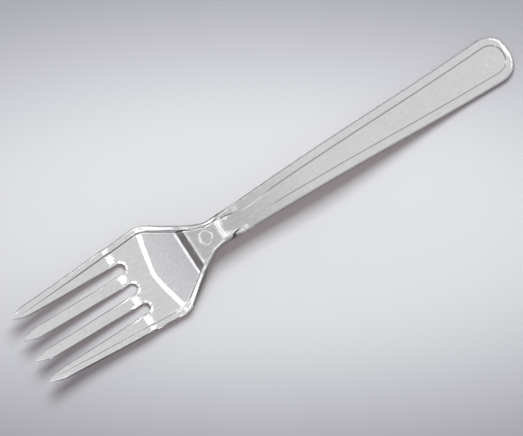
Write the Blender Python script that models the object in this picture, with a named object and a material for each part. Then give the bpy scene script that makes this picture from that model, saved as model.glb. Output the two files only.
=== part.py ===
# Clear disposable fork, injection moulded in one piece.
#
# A two-part mould that opens straight up makes a fork whose upper face and lower face
# are both height fields over one outline. The model is made the same way: a flat plan
# of quads that follows every edge of the fork, lifted once to the upper face and once
# to the lower face, with walls between them round the outline.
#
# x runs from the tine tips to the end of the handle, y across, z up. The fork lies on
# its belly and on the flat pad under the handle's end, hollow side up.

import math
from itertools import product

import bmesh
import bpy

MM = 0.001

# Plan of the head, in millimetres
LENGTH = 165.0
TINE_LENGTH = 36.2
TIP_LENGTH = 4.6
TIP_WIDTH = 0.4
TIP_FULLNESS = 0.85
HEAD_WIDTH = 29.5
HEAD_LENGTH = 9.3
SIDE_ANGLE = math.radians(3.5)
SHOULDER_ANGLE = math.radians(33.8)
SHOULDER_ROUNDING = 1.5
NECK_ROUNDING = 1.4

# Slots between the four tines
SLOT_WIDTH = 3.05
SLOT_WIDTH_AT_TIPS = 3.8
SLOT_PITCH = 6.78
SLOT_PITCH_AT_TIPS = 7.05

# Plan of the neck and handle
NECK_WIDTH = 8.3
HANDLE_WIDTH = 14.35
END_RADIUS = 6.8
END_SQUARENESS = 2.25

# Raised rim, from the outer tines over the shoulders to the handle's border
RIM_WIDTH = 2.1
NECK_RIM_WIDTH = 1.3
BORDER_WIDTH = 2.95
BORDER_WIDTH_AT_END = 2.3
RIM_RAMP = 0.25
PANEL_RAMP = 0.4
HEAD_BEVEL = 0.35
SHOULDER_BEVEL = 0.9
HANDLE_BEVEL = 0.6

# Side view: how high the underside lies above the table
TIP_LIFT = 6.5
BELLY_FROM_ROOT = 3.0
NECK_LIFT = 5.2
NECK_SLOPE = 0.27
BEND_FROM_NECK = 6.0
BEND_LIFT = 6.2
BEND_SLOPE = 0.05
ARCH_LIFT = 7.2
ARCH_FROM_NECK = 31.0
PAD_LENGTH = 13.0

# Thicknesses and heights of the features
TINE_THICKNESS = 2.25
TINE_THICKNESS_AT_TIPS = 1.15
TIP_THICKNESS = 1.05
WEB_THICKNESS = 1.2
ROOT_RAMP = 2.8
CUSP_REACH = 0.6
RIM_STEP = 0.9
RIM_STEP_AT_TIPS = 0.15
SHOULDER_HEIGHT = 4.0
HANDLE_HEIGHT = 2.6
SLOT_BEVEL = 0.95
SLOT_BEVEL_AT_TIPS = 0.3
BEVEL_WIDENS_OVER = 10.3
SLOT_BEVEL_DROP = 0.4
UNDER_BEVEL = 0.25
HEAD_EDGE_DROP = 0.7
SHOULDER_EDGE_DROP = 3.3
HANDLE_EDGE_DROP = 0.9
BORDER_FALL = 0.35
DISH_AT_TINES = 1.7
DISH_AT_NECK = 0.6
DISH_FOLD = 1.0

# Neck pocket and the step up to it
BOWL_FROM_SHOULDER = 8.1
STEP_LENGTH = 2.0
STEP_LAG = 0.6
NECK_PLATE_LENGTH = 8.8
NECK_PLATE_DEPTH = 1.0
NECK_PLATE_THICKNESS = 1.3
POCKET_WALL_LENGTH = 1.2
POCKET_WALL_SHARE = 0.75
POCKET_RUNOUT = 1.0
POCKET_RUNOUT_BULGE = 2.4

# Handle panel above, channel and rib below
PANEL_FROM_POCKET = 8.0
PANEL_FADE = 11.0
PANEL_DEPTH = 0.5
CHANNEL_DEPTH = 0.3
CHANNEL_FADE = 30.0
RIB_LENGTH = 45.0
RIB_FADE = 15.0
RIB_WIDTH = 1.6
RIB_HEIGHT = 0.12
RIB_RAMP = 1.0

# How finely the faces are divided
ARC_STEPS = 8
TINE_ROWS = 9
TIP_ROWS = 5
FIRST_ROW_GAP = 0.9
TIP_ROW_CROWDING = 1.5
HEAD_ROW_SPACING = 1.5
HANDLE_ROW_SPACING = 5.0
RIB_COLUMNS = 2
SLOPE_REACH = 0.05
WELD_CELL = 0.0001
SHARP_FROM = math.radians(20)

# Places along the length that follow from the sizes
TINE_SPREAD = math.tan(SIDE_ANGLE)
SHOULDER_FALL = math.tan(SHOULDER_ANGLE)
SHARE_OF_TURN = TINE_SPREAD / (TINE_SPREAD + SHOULDER_FALL)
CORNER_Y = HEAD_WIDTH / 2 + SHOULDER_ROUNDING * SHARE_OF_TURN * (1 - SHARE_OF_TURN)
CORNER_X = TINE_LENGTH + HEAD_LENGTH
NECK_X = CORNER_X + (CORNER_Y - NECK_WIDTH / 2) / SHOULDER_FALL
ROOT_X = TINE_LENGTH - SLOT_WIDTH / 2
CUSP_X = ROOT_X + CUSP_REACH
SHANK_END_X = CUSP_X - ROOT_RAMP
BELLY_X = TINE_LENGTH + BELLY_FROM_ROOT
STEP_X = CORNER_X + BOWL_FROM_SHOULDER
PLATE_X = STEP_X + STEP_LENGTH
UNDER_STEP_X = STEP_X + STEP_LAG
POCKET_X = PLATE_X + NECK_PLATE_LENGTH
WALL_TOP_X = POCKET_X + POCKET_WALL_LENGTH
POCKET_TOP_X = WALL_TOP_X + POCKET_RUNOUT
PANEL_X = POCKET_TOP_X + PANEL_FROM_POCKET
BEND_X = NECK_X + BEND_FROM_NECK
ARCH_X = NECK_X + ARCH_FROM_NECK
PAD_X = LENGTH - PAD_LENGTH
END_X = LENGTH - END_RADIUS
RIB_X = PAD_X - RIB_LENGTH


def mix(a, b, share):
    return a + (b - a) * share


def ramp(start, end, x):
    return min(max((x - start) / (end - start), 0.0), 1.0)


def ease(start, end, x):
    share = ramp(start, end, x)
    return share * share * (3 - 2 * share)


def soft_min(a, b, rounding):
    overlap = max(rounding - abs(a - b), 0.0) / rounding
    return min(a, b) - overlap * overlap * rounding / 4


def soft_max(a, b, rounding):
    return -soft_min(-a, -b, rounding)


def curve(x, start, end):
    """Cubic between two (x, height, slope) knots."""
    (x0, z0, slope0), (x1, z1, slope1) = start, end
    run = x1 - x0
    t = (x - x0) / run
    rise = z0 + (z1 - z0) * t * t * (3 - 2 * t)
    return rise + run * t * (1 - t) * (slope0 * (1 - t) - slope1 * t)


# Outline and the lines that run beside it


def half_width(x):
    side = CORNER_Y + TINE_SPREAD * (x - CORNER_X)
    shoulder = CORNER_Y - SHOULDER_FALL * (x - CORNER_X)
    handle = mix(NECK_WIDTH, HANDLE_WIDTH, (x - NECK_X) / (END_X - NECK_X)) / 2
    return soft_max(soft_min(side, shoulder, SHOULDER_ROUNDING), handle, NECK_ROUNDING)


def slant(x):
    """Length of a line square to the outline, measured across the fork."""
    rise = half_width(x + SLOPE_REACH) - half_width(x - SLOPE_REACH)
    return math.hypot(1.0, rise / (2 * SLOPE_REACH))


def rim_width(x):
    width = mix(RIM_WIDTH, NECK_RIM_WIDTH, ease(STEP_X, NECK_X, x))
    return mix(width, BORDER_WIDTH, ease(POCKET_X, PANEL_X, x))


def bevel_width(x):
    width = mix(HEAD_BEVEL, SHOULDER_BEVEL, ease(CORNER_X, STEP_X, x))
    return mix(width, HANDLE_BEVEL, ease(PLATE_X, NECK_X, x))


def ramp_width(x):
    """Width of the ramp between the floor and the ridge of the rim."""
    return mix(RIM_RAMP, PANEL_RAMP, ease(POCKET_X, PANEL_X, x))


def foot_line(x):
    return half_width(x) - rim_width(x) * slant(x)


def rim_lines(x):
    """Foot, ridge and bevel of the rim, and the outline, across the fork at x."""
    edge = half_width(x)
    stretch = slant(x)
    ridge = edge - (rim_width(x) - ramp_width(x)) * stretch
    bevel = edge - bevel_width(x) * stretch
    return [foot_line(x), ridge, bevel, edge]


# Side view


def underside(x):
    if x < BELLY_X:
        return TIP_LIFT * (1 - x / BELLY_X) ** 2
    belly = (BELLY_X, 0.0, 0.0)
    neck = (NECK_X, NECK_LIFT, NECK_SLOPE)
    bend = (BEND_X, BEND_LIFT, BEND_SLOPE)
    arch = (ARCH_X, ARCH_LIFT, 0.0)
    pad = (PAD_X, 0.0, 0.0)
    if x < NECK_X:
        return curve(x, belly, neck)
    if x < BEND_X:
        return curve(x, neck, bend)
    if x < ARCH_X:
        return curve(x, bend, arch)
    return curve(x, arch, pad) if x < PAD_X else 0.0


def dish(x, y):
    """Two nearly straight sides that meet in a rounded fold along the middle."""
    depth = mix(DISH_AT_TINES, DISH_AT_NECK, ease(ROOT_X, PLATE_X, x))
    depth *= 1 - ease(PLATE_X, PANEL_X, x)
    side = math.hypot(y, DISH_FOLD) - DISH_FOLD
    return depth * side / (math.hypot(HEAD_WIDTH / 2, DISH_FOLD) - DISH_FOLD)


def plate_thickness(x):
    """Tines, and the thinner web of the bowl behind them."""
    tine = mix(TINE_THICKNESS_AT_TIPS, TINE_THICKNESS, ramp(TIP_LENGTH, SHANK_END_X, x))
    tine = mix(TIP_THICKNESS, tine, ramp(0, TIP_LENGTH, x))
    return mix(tine, WEB_THICKNESS, ramp(SHANK_END_X, CUSP_X, x))


def rail_height(x):
    """Rim or border, from its underside to its ridge."""
    step_at_tip = RIM_STEP_AT_TIPS * ramp(0, TIP_LENGTH, x)
    height = plate_thickness(x) + mix(step_at_tip, RIM_STEP, ease(0, ROOT_X, x))
    height = mix(height, SHOULDER_HEIGHT, ease(CORNER_X, STEP_X, x))
    return mix(height, HANDLE_HEIGHT, ease(POCKET_X, PANEL_X, x))


def floor_height(x, y):
    """Upper face between the rims, above the underside."""
    rail = rail_height(x)
    plate = rail - NECK_PLATE_DEPTH
    height = mix(plate_thickness(x), plate, ramp(STEP_X, PLATE_X, x))
    across = min(abs(y) / foot_line(x), 1.0)
    pocket_top = POCKET_TOP_X + pocket_bulge(POCKET_TOP_X, across)
    risen = POCKET_WALL_SHARE * ramp(POCKET_X, WALL_TOP_X, x)
    risen += (1 - POCKET_WALL_SHARE) * ease(WALL_TOP_X, pocket_top, x)
    return mix(height, rail, risen) - PANEL_DEPTH * ease(PANEL_X, PANEL_X + PANEL_FADE, x)


def channel_depth(x):
    """Hollow under the neck plate and the handle."""
    plate = rail_height(x) - NECK_PLATE_DEPTH - NECK_PLATE_THICKNESS
    depth = mix(plate, CHANNEL_DEPTH, ease(POCKET_X, PANEL_X, x))
    stepped = ramp(UNDER_STEP_X, UNDER_STEP_X + STEP_LENGTH, x)
    return depth * stepped * (1 - ease(PAD_X - CHANNEL_FADE, PAD_X, x))


def rib_height(x):
    room = min(channel_depth(x), RIB_HEIGHT)
    return room * ease(RIB_X, RIB_X + RIB_FADE, x)


def pocket_bulge(x, across):
    """How far a row bends towards the handle at the rounded end of the neck pocket."""
    share = ramp(WALL_TOP_X, POCKET_TOP_X, x) * (1 - ramp(POCKET_TOP_X, PANEL_X, x))
    return POCKET_RUNOUT_BULGE * share * (1 - across * across)


# Points of the plan: each carries x, y and the heights of the upper and lower face


def point(x, y, top, bottom):
    base = underside(x) + dish(x, y)
    return (x, y, base + top, base + bottom)


def plate_point(x, y):
    across = min(abs(y) / foot_line(x), 1.0)
    cove = 1 - across ** 2 * ease(POCKET_X, PANEL_X, x)
    return point(x, y, floor_height(x, y), channel_depth(x) * cove)


def slot_edge_point(x, y):
    fade = ramp(0, TIP_LENGTH, x)
    return point(x, y, plate_thickness(x) - SLOT_BEVEL_DROP * fade, UNDER_BEVEL * fade)


def rim_points(x, lines):
    """Foot, ridge, bevel and outer edge at x, for the four given places across."""
    fade = ramp(0, TIP_LENGTH, x)
    rail = rail_height(x)
    drop = mix(HEAD_EDGE_DROP * fade, SHOULDER_EDGE_DROP, ease(CORNER_X, STEP_X, x))
    drop = mix(drop, HANDLE_EDGE_DROP, ease(PLATE_X, NECK_X, x))
    fall = BORDER_FALL * ease(PLATE_X, PANEL_X, x)
    foot, ridge, bevel, edge = lines
    return [
        plate_point(x, foot),
        point(x, ridge, rail, 0.0),
        point(x, bevel, rail - fall, 0.0),
        point(x, edge, rail - drop, UNDER_BEVEL * fade),
    ]


# Patches of the plan, for the half on the +y side


def slot_centre(x):
    return mix(SLOT_PITCH_AT_TIPS, SLOT_PITCH, ramp(TIP_LENGTH, ROOT_X, x))


def slot_bevel(x):
    widening = ease(SHANK_END_X - BEVEL_WIDENS_OVER, SHANK_END_X, x)
    return mix(SLOT_BEVEL_AT_TIPS, SLOT_BEVEL, widening)


def slot_half(x):
    return mix(SLOT_WIDTH_AT_TIPS, SLOT_WIDTH, ramp(TIP_LENGTH, ROOT_X, x)) / 2


def tine_rim_lines(x, inside):
    """The rim's lines on the outer tine, which narrow with the tine where it is slim."""
    lines = rim_lines(x)
    room = lines[-1] - inside
    narrowing = min(1.0, room / (lines[-1] - lines[0] + slot_bevel(x)))
    return [lines[-1] - (lines[-1] - y) * narrowing for y in lines]


def tine_row(x, inner, cusp=0.0):
    """One row across a tine, inner or outer; its middle may reach on by the cusp."""
    full = max(x, TIP_LENGTH)
    low = slot_half(full) if inner else slot_centre(full) + slot_half(full)
    high = slot_centre(full) - slot_half(full) if inner else half_width(full)
    middle = (low + high) / 2
    tip_share = TIP_WIDTH / (high - low)
    squeeze = mix(tip_share, 1.0, ramp(0, TIP_LENGTH, x) ** TIP_FULLNESS)

    def squeezed(y):
        return middle + (y - middle) * squeeze

    bevel = slot_bevel(x)
    start = squeezed(low + bevel)
    row = [slot_edge_point(x, squeezed(low)), plate_point(x, start)]
    if inner:
        end = squeezed(high - bevel)
        row.append(plate_point(x + cusp, (start + end) / 2))
        return row + [plate_point(x, end), slot_edge_point(x, squeezed(high))]
    lines = [squeezed(y) for y in tine_rim_lines(full, low + bevel)]
    row.append(plate_point(x + cusp, (start + lines[0]) / 2))
    return row + rim_points(x, lines)


def tine_patch(inner):
    tip = [TIP_LENGTH * (step / TIP_ROWS) ** TIP_ROW_CROWDING for step in range(TIP_ROWS)]
    shank = [mix(TIP_LENGTH, SHANK_END_X, step / TINE_ROWS) for step in range(TINE_ROWS + 1)]
    rows = [tine_row(x, inner) for x in tip + shank]
    rows.append(tine_row((SHANK_END_X + ROOT_X) / 2, inner, CUSP_REACH / 2))
    return rows + [tine_row(ROOT_X, inner, CUSP_REACH)]


def arc_angles(start, end, steps):
    return [math.radians(mix(start, end, step / steps)) for step in range(steps + 1)]


def slot_arc(centre, angles, offset):
    radius = SLOT_WIDTH / 2 + offset
    return [(ROOT_X + radius * math.cos(a), centre + radius * math.sin(a)) for a in angles]


def slot_end_patch(centre, angles):
    """The bevel that runs round the closed end of a slot."""
    edge = [slot_edge_point(x, y) for x, y in slot_arc(centre, angles, 0.0)]
    inside = [plate_point(x, y) for x, y in slot_arc(centre, angles, SLOT_BEVEL)]
    return [edge, inside]


def root_line():
    """Places across the web, along the slots' bevels and the middles of the tines."""
    centre_slot = slot_arc(0.0, arc_angles(0, 90, ARC_STEPS // 2), SLOT_BEVEL)
    outer_slot = slot_arc(SLOT_PITCH, arc_angles(-90, 90, ARC_STEPS), SLOT_BEVEL)
    inner_tine = [(CUSP_X, (centre_slot[-1][1] + outer_slot[0][1]) / 2)]
    outer_tine = [(CUSP_X, (outer_slot[-1][1] + foot_line(ROOT_X)) / 2)]
    return centre_slot + inner_tine + outer_slot + outer_tine


def across_places(x):
    """Places across the web or panel at x, from the centre line to the rim's foot."""
    foot = foot_line(x)
    head = [y / foot_line(ROOT_X) * foot for _, y in root_line()]
    even = [foot * step / len(head) for step in range(len(head))]
    rib = [0.0, RIB_WIDTH / 2, RIB_WIDTH / 2 + RIB_RAMP]
    gaps = len(head) - len(rib) + 1
    ribbed = rib + [mix(rib[-1], foot, step / gaps) for step in range(1, gaps)]
    places = [mix(a, b, ease(CORNER_X, POCKET_X, x)) for a, b in zip(head, even)]
    return [mix(a, b, ease(PANEL_X, RIB_X, x)) for a, b in zip(places, ribbed)]


def body_row(x):
    """One row from the centre line to the outline; it bends at the neck pocket's end."""
    row = []
    for index, place in enumerate(across_places(x)):
        across = place / foot_line(x)
        along = x + pocket_bulge(x, across)
        _, y, top, bottom = plate_point(along, across * foot_line(along))
        if index < RIB_COLUMNS:
            bottom -= rib_height(along)
        row.append((along, y, top, bottom))
    return row + rim_points(x, rim_lines(x))


def body_places():
    """Places of the rows: one at each change of form, and more between them."""
    start = TINE_LENGTH + SLOT_BEVEL + FIRST_ROW_GAP
    changes = [start, STEP_X, UNDER_STEP_X, PLATE_X, UNDER_STEP_X + STEP_LENGTH, POCKET_X]
    changes += [WALL_TOP_X, POCKET_TOP_X, PANEL_X, PANEL_X + PANEL_FADE]
    changes += [PAD_X - CHANNEL_FADE, PAD_X, END_X]
    changes = sorted(x for x in changes if start <= x <= END_X)
    places = []
    for near, far in zip(changes, changes[1:]):
        smooth = PANEL_X <= near < PAD_X
        spacing = HANDLE_ROW_SPACING if smooth else HEAD_ROW_SPACING
        count = math.ceil((far - near) / spacing)
        places += [mix(near, far, step / count) for step in range(count)]
    return places + [END_X]


def web_patch():
    """From the slots' round ends to the first straight row of the body."""
    end_x = body_places()[0]
    middle_x = (ROOT_X + end_x) / 2
    web = [plate_point(x, y) for x, y in root_line()]
    end = body_row(end_x)
    middle = []
    for near, far in zip(web, end):
        middle.append(plate_point((near[0] + far[0]) / 2, (near[1] + far[1]) / 2))
    start = web + rim_points(ROOT_X, rim_lines(ROOT_X))
    return [start, middle + rim_points(middle_x, rim_lines(middle_x)), end]


def body_patch():
    return [body_row(x) for x in body_places()]


def end_arc(angle, reach, half):
    power = 2 / END_SQUARENESS
    return END_X + reach * math.cos(angle) ** power, half * math.sin(angle) ** power


def end_patches():
    """The handle's rounded end: the panel inside, and the border that turns round it."""
    across = across_places(END_X) + [foot_line(END_X)]
    angles = arc_angles(0, 90, len(across) - 1)
    halves = rim_lines(END_X)
    panel_reach = END_RADIUS - BORDER_WIDTH_AT_END
    reaches = [panel_reach, panel_reach + PANEL_RAMP, END_RADIUS - HANDLE_BEVEL, END_RADIUS]
    border = []
    for angle in angles:
        places = [end_arc(angle, reach, half) for reach, half in zip(reaches, halves)]
        border.append([rim_points(x, [y] * len(places))[part] for part, (x, y) in enumerate(places)])
    diameter = [plate_point(END_X, y) for y in across]
    arc = [radial[0] for radial in border]
    middle = []
    for near, far in zip(diameter, arc):
        middle.append(plate_point((near[0] + far[0]) / 2, (near[1] + far[1]) / 2))
    return [[diameter, middle, arc], border]


# From the plan to one closed solid


class Sheet:
    """Collects the plan's points and quads, with shared points stored once."""

    def __init__(self):
        self.places = {}
        self.points = []
        self.faces = []

    def add_point(self, place):
        """Index of the point at this place; one in the next cell counts as the same."""
        column, row = round(place[0] / WELD_CELL), round(place[1] / WELD_CELL)
        for key in product((column, column - 1, column + 1), (row, row - 1, row + 1)):
            if key in self.places:
                return self.places[key]
        self.places[column, row] = len(self.points)
        self.points.append(place)
        return self.places[column, row]

    def add_face(self, corners):
        indices = [self.add_point(corner) for corner in corners]
        unique = [v for i, v in enumerate(indices) if v != indices[i - 1]]
        if len(unique) > 2:
            self.faces.append(anticlockwise(unique, self.points))

    def add_patch(self, rows):
        for row, after in zip(rows, rows[1:]):
            for i in range(len(row) - 1):
                self.add_face([row[i], after[i], after[i + 1], row[i + 1]])

    def add_patch_and_mirror(self, rows):
        self.add_patch(rows)
        self.add_patch([[(x, -y, top, bottom) for x, y, top, bottom in row] for row in rows])

    def rim_edges(self):
        """Directed edges that only one face uses."""
        used = set()
        for face in self.faces:
            used.update(zip(face, face[1:] + face[:1]))
        return [(a, b) for a, b in used if (b, a) not in used]


def anticlockwise(face, points):
    area = 0.0
    for a, b in zip(face, face[1:] + face[:1]):
        area += points[a][0] * points[b][1] - points[b][0] * points[a][1]
    return face if area > 0 else face[::-1]


def fork_sheet():
    sheet = Sheet()
    sheet.add_patch_and_mirror(tine_patch(inner=True))
    sheet.add_patch_and_mirror(tine_patch(inner=False))
    sheet.add_patch_and_mirror(slot_end_patch(0.0, arc_angles(0, 90, ARC_STEPS // 2)))
    sheet.add_patch_and_mirror(slot_end_patch(SLOT_PITCH, arc_angles(-90, 90, ARC_STEPS)))
    sheet.add_patch_and_mirror(web_patch())
    sheet.add_patch_and_mirror(body_patch())
    for rows in end_patches():
        sheet.add_patch_and_mirror(rows)
    return sheet


def solid_mesh(sheet, name):
    """Upper face, lower face and the walls between them."""
    shift = LENGTH / 2
    bm = bmesh.new()
    top = [bm.verts.new(((x - shift) * MM, y * MM, z * MM)) for x, y, z, _ in sheet.points]
    bottom = [bm.verts.new(((x - shift) * MM, y * MM, z * MM)) for x, y, _, z in sheet.points]
    for face in sheet.faces:
        bm.faces.new([top[v] for v in face])
        bm.faces.new([bottom[v] for v in reversed(face)])
    for a, b in sorted(sheet.rim_edges()):
        bm.faces.new([top[b], top[a], bottom[a], bottom[b]])
    bmesh.ops.triangulate(bm, faces=bm.faces[:], quad_method="SHORT_EDGE")
    mesh = bpy.data.meshes.new(name)
    bm.to_mesh(mesh)
    bm.free()
    mesh.shade_smooth()
    mesh.set_sharp_from_angle(angle=SHARP_FROM)
    return mesh


def clear_plastic():
    material = bpy.data.materials.new("clear_polystyrene")
    material.use_nodes = True
    shader = material.node_tree.nodes["Principled BSDF"]
    shader.inputs["Base Color"].default_value = (0.86, 0.87, 0.88, 1.0)
    shader.inputs["Metallic"].default_value = 0.0
    shader.inputs["Roughness"].default_value = 0.06
    shader.inputs["IOR"].default_value = 1.59
    shader.inputs["Transmission Weight"].default_value = 1.0
    return material


def clear_scene():
    for item in list(bpy.data.objects):
        bpy.data.objects.remove(item, do_unlink=True)


def main():
    clear_scene()
    mesh = solid_mesh(fork_sheet(), "fork")
    mesh.materials.append(clear_plastic())
    fork = bpy.data.objects.new("fork", mesh)
    bpy.context.scene.collection.objects.link(fork)


main()
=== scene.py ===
# %% [markdown]
# # A clear disposable fork on a studio table
#
# The object is one piece of clear polystyrene. Melted plastic is pressed into a steel
# mould that opens straight up and down, so the fork's upper face and lower face are two
# height fields over one outline. Clear plastic has almost no colour of its own. What the
# eye reads is its edges: each bevel, step and rounded corner bends the light another way
# and turns white or dark. So most of this lesson goes into the true shape of the faces,
# and then into lamps that give those faces something to show.
#
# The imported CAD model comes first. It is the fixed frame that everything sits in.

import math
from itertools import product

import bmesh
import bpy
from mathutils import Matrix, Vector


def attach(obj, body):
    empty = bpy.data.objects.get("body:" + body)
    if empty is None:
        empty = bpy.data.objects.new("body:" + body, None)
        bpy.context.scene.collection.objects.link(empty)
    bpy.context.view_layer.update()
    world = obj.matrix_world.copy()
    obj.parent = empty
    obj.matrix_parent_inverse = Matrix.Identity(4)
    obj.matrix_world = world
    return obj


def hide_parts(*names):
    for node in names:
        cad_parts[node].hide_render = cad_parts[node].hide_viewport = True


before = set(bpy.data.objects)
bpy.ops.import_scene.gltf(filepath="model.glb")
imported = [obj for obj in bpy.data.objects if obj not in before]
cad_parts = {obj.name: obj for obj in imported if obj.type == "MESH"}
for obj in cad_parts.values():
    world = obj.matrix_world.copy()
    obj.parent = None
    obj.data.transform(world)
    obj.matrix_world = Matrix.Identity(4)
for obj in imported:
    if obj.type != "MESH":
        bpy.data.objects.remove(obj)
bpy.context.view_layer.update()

# %% [markdown]
# ## A few small helpers
#
# Moulded parts change from one form to the next with short blends. These helpers describe
# a blend once: a straight ramp, an eased ramp, a cubic through two heights and slopes, and
# a minimum and maximum with a rounded corner. All sizes are in millimetres until the mesh
# is made, because that is how such a part is drawn and measured.

# %% Blends
MM = 0.001


def mix(a, b, share):
    return a + (b - a) * share


def ramp(start, end, x):
    return min(max((x - start) / (end - start), 0.0), 1.0)


def ease(start, end, x):
    share = ramp(start, end, x)
    return share * share * (3 - 2 * share)


def soft_min(a, b, rounding):
    overlap = max(rounding - abs(a - b), 0.0) / rounding
    return min(a, b) - overlap * overlap * rounding / 4


def soft_max(a, b, rounding):
    return -soft_min(-a, -b, rounding)


def cubic(x, start, end):
    """Height at x of the cubic between two (x, height, slope) knots."""
    (x0, z0, slope0), (x1, z1, slope1) = start, end
    run = x1 - x0
    t = (x - x0) / run
    rise = z0 + (z1 - z0) * t * t * (3 - 2 * t)
    return rise + run * t * (1 - t) * (slope0 * (1 - t) - slope1 * t)


print("a smaller of 1.0 and 1.0, rounded over 0.4, is", round(soft_min(1.0, 1.0, 0.4), 2))

# %% [markdown]
# ## The outline
#
# Seen from above, the head widens a little from the tips, turns in at the shoulders and
# flows into a narrow neck, and the handle widens again to a round end. One function gives
# the half width at any distance from the tips. It joins three straight lines with rounded
# corners, which is how a mould maker draws it, and it never gives a bump that a hand-placed
# curve would have.

# %% Outline sizes
LENGTH = 165.0
TINE_LENGTH = 36.2
HEAD_WIDTH = 29.5
HEAD_LENGTH = 9.3
SIDE_ANGLE = math.radians(3.5)
SHOULDER_ANGLE = math.radians(33.8)
SHOULDER_ROUNDING = 1.5
NECK_ROUNDING = 1.4
NECK_WIDTH = 8.3
HANDLE_WIDTH = 14.35
END_RADIUS = 6.8
END_SQUARENESS = 2.25
SLOPE_REACH = 0.05

TINE_SPREAD = math.tan(SIDE_ANGLE)
SHOULDER_FALL = math.tan(SHOULDER_ANGLE)
TURN_SHARE = TINE_SPREAD / (TINE_SPREAD + SHOULDER_FALL)
CORNER_X = TINE_LENGTH + HEAD_LENGTH
CORNER_Y = HEAD_WIDTH / 2 + SHOULDER_ROUNDING * TURN_SHARE * (1 - TURN_SHARE)
NECK_X = CORNER_X + (CORNER_Y - NECK_WIDTH / 2) / SHOULDER_FALL
END_X = LENGTH - END_RADIUS


def half_width(x):
    side = CORNER_Y + TINE_SPREAD * (x - CORNER_X)
    shoulder = CORNER_Y - SHOULDER_FALL * (x - CORNER_X)
    handle = mix(NECK_WIDTH, HANDLE_WIDTH, (x - NECK_X) / (END_X - NECK_X)) / 2
    return soft_max(soft_min(side, shoulder, SHOULDER_ROUNDING), handle, NECK_ROUNDING)


def slant(x):
    """How much longer a width measured across the fork is than one square to the outline."""
    rise = half_width(x + SLOPE_REACH) - half_width(x - SLOPE_REACH)
    return math.hypot(1.0, rise / (2 * SLOPE_REACH))


for x in (5, CORNER_X, NECK_X, END_X):
    print(f"outline: {2 * half_width(x):.1f} mm wide at {x:.0f} mm from the tips")

# %% [markdown]
# ## The raised rim
#
# A thin plate of brittle plastic would snap, so the head has a raised rim on each side that
# runs over the shoulders into the handle's border. Across the fork it has four lines: the
# foot inside, the ridge, the start of the outer bevel, and the outer edge. Modelling the
# rim as lines that follow the outline keeps it even in width round every bend.

# %% Rim lines
RIM_WIDTH = 2.1
NECK_RIM_WIDTH = 1.3
BORDER_WIDTH = 2.95
BORDER_WIDTH_AT_END = 2.3
RIM_RAMP = 0.25
PANEL_RAMP = 0.4
HEAD_BEVEL = 0.35
SHOULDER_BEVEL = 0.9
HANDLE_BEVEL = 0.6
BOWL_FROM_SHOULDER = 8.1
STEP_LENGTH = 2.0
NECK_PLATE_LENGTH = 8.8
POCKET_WALL_LENGTH = 1.2
POCKET_RUNOUT = 1.0
PANEL_FROM_POCKET = 8.0

STEP_X = CORNER_X + BOWL_FROM_SHOULDER
PLATE_X = STEP_X + STEP_LENGTH
POCKET_X = PLATE_X + NECK_PLATE_LENGTH
WALL_TOP_X = POCKET_X + POCKET_WALL_LENGTH
POCKET_TOP_X = WALL_TOP_X + POCKET_RUNOUT
PANEL_X = POCKET_TOP_X + PANEL_FROM_POCKET


def rim_width(x):
    width = mix(RIM_WIDTH, NECK_RIM_WIDTH, ease(STEP_X, NECK_X, x))
    return mix(width, BORDER_WIDTH, ease(POCKET_X, PANEL_X, x))


def bevel_width(x):
    width = mix(HEAD_BEVEL, SHOULDER_BEVEL, ease(CORNER_X, STEP_X, x))
    return mix(width, HANDLE_BEVEL, ease(PLATE_X, NECK_X, x))


def ramp_width(x):
    return mix(RIM_RAMP, PANEL_RAMP, ease(POCKET_X, PANEL_X, x))


def foot_line(x):
    return half_width(x) - rim_width(x) * slant(x)


def rim_lines(x):
    """Foot, ridge, bevel and outer edge, across the fork at x."""
    edge = half_width(x)
    stretch = slant(x)
    ridge = edge - (rim_width(x) - ramp_width(x)) * stretch
    bevel = edge - bevel_width(x) * stretch
    return [foot_line(x), ridge, bevel, edge]


print("step, neck pocket, panel from the tips in mm:", round(STEP_X), round(POCKET_X), round(PANEL_X))

# %% [markdown]
# ## The side view
#
# Turned on its side the fork is a long shallow wave: the tips curl up, the belly touches
# the table under the tine roots, the neck rises, the handle arches, and its end comes down
# to a flat pad. Cubics that share their slopes where they meet keep the plastic smooth, so
# reflections glide along it. The head is also dished across, deeper between the tines than
# at the neck. That dish is why the bright line over the belly bends into an open V.

# %% Height of the underside
TIP_LIFT = 6.5
BELLY_FROM_ROOT = 3.0
NECK_LIFT = 5.2
NECK_SLOPE = 0.27
BEND_FROM_NECK = 6.0
BEND_LIFT = 6.2
BEND_SLOPE = 0.05
ARCH_LIFT = 7.2
ARCH_FROM_NECK = 31.0
PAD_LENGTH = 13.0
DISH_AT_TINES = 1.7
DISH_AT_NECK = 0.6
DISH_FOLD = 1.0
SLOT_WIDTH = 3.05

ROOT_X = TINE_LENGTH - SLOT_WIDTH / 2
BELLY = (TINE_LENGTH + BELLY_FROM_ROOT, 0.0, 0.0)
NECK = (NECK_X, NECK_LIFT, NECK_SLOPE)
BEND = (NECK_X + BEND_FROM_NECK, BEND_LIFT, BEND_SLOPE)
ARCH = (NECK_X + ARCH_FROM_NECK, ARCH_LIFT, 0.0)
PAD = (LENGTH - PAD_LENGTH, 0.0, 0.0)
PAD_X = PAD[0]


def underside(x):
    if x < BELLY[0]:
        return TIP_LIFT * (1 - x / BELLY[0]) ** 2
    if x < NECK_X:
        return cubic(x, BELLY, NECK)
    if x < BEND[0]:
        return cubic(x, NECK, BEND)
    if x < ARCH[0]:
        return cubic(x, BEND, ARCH)
    return cubic(x, ARCH, PAD) if x < PAD_X else 0.0


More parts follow.
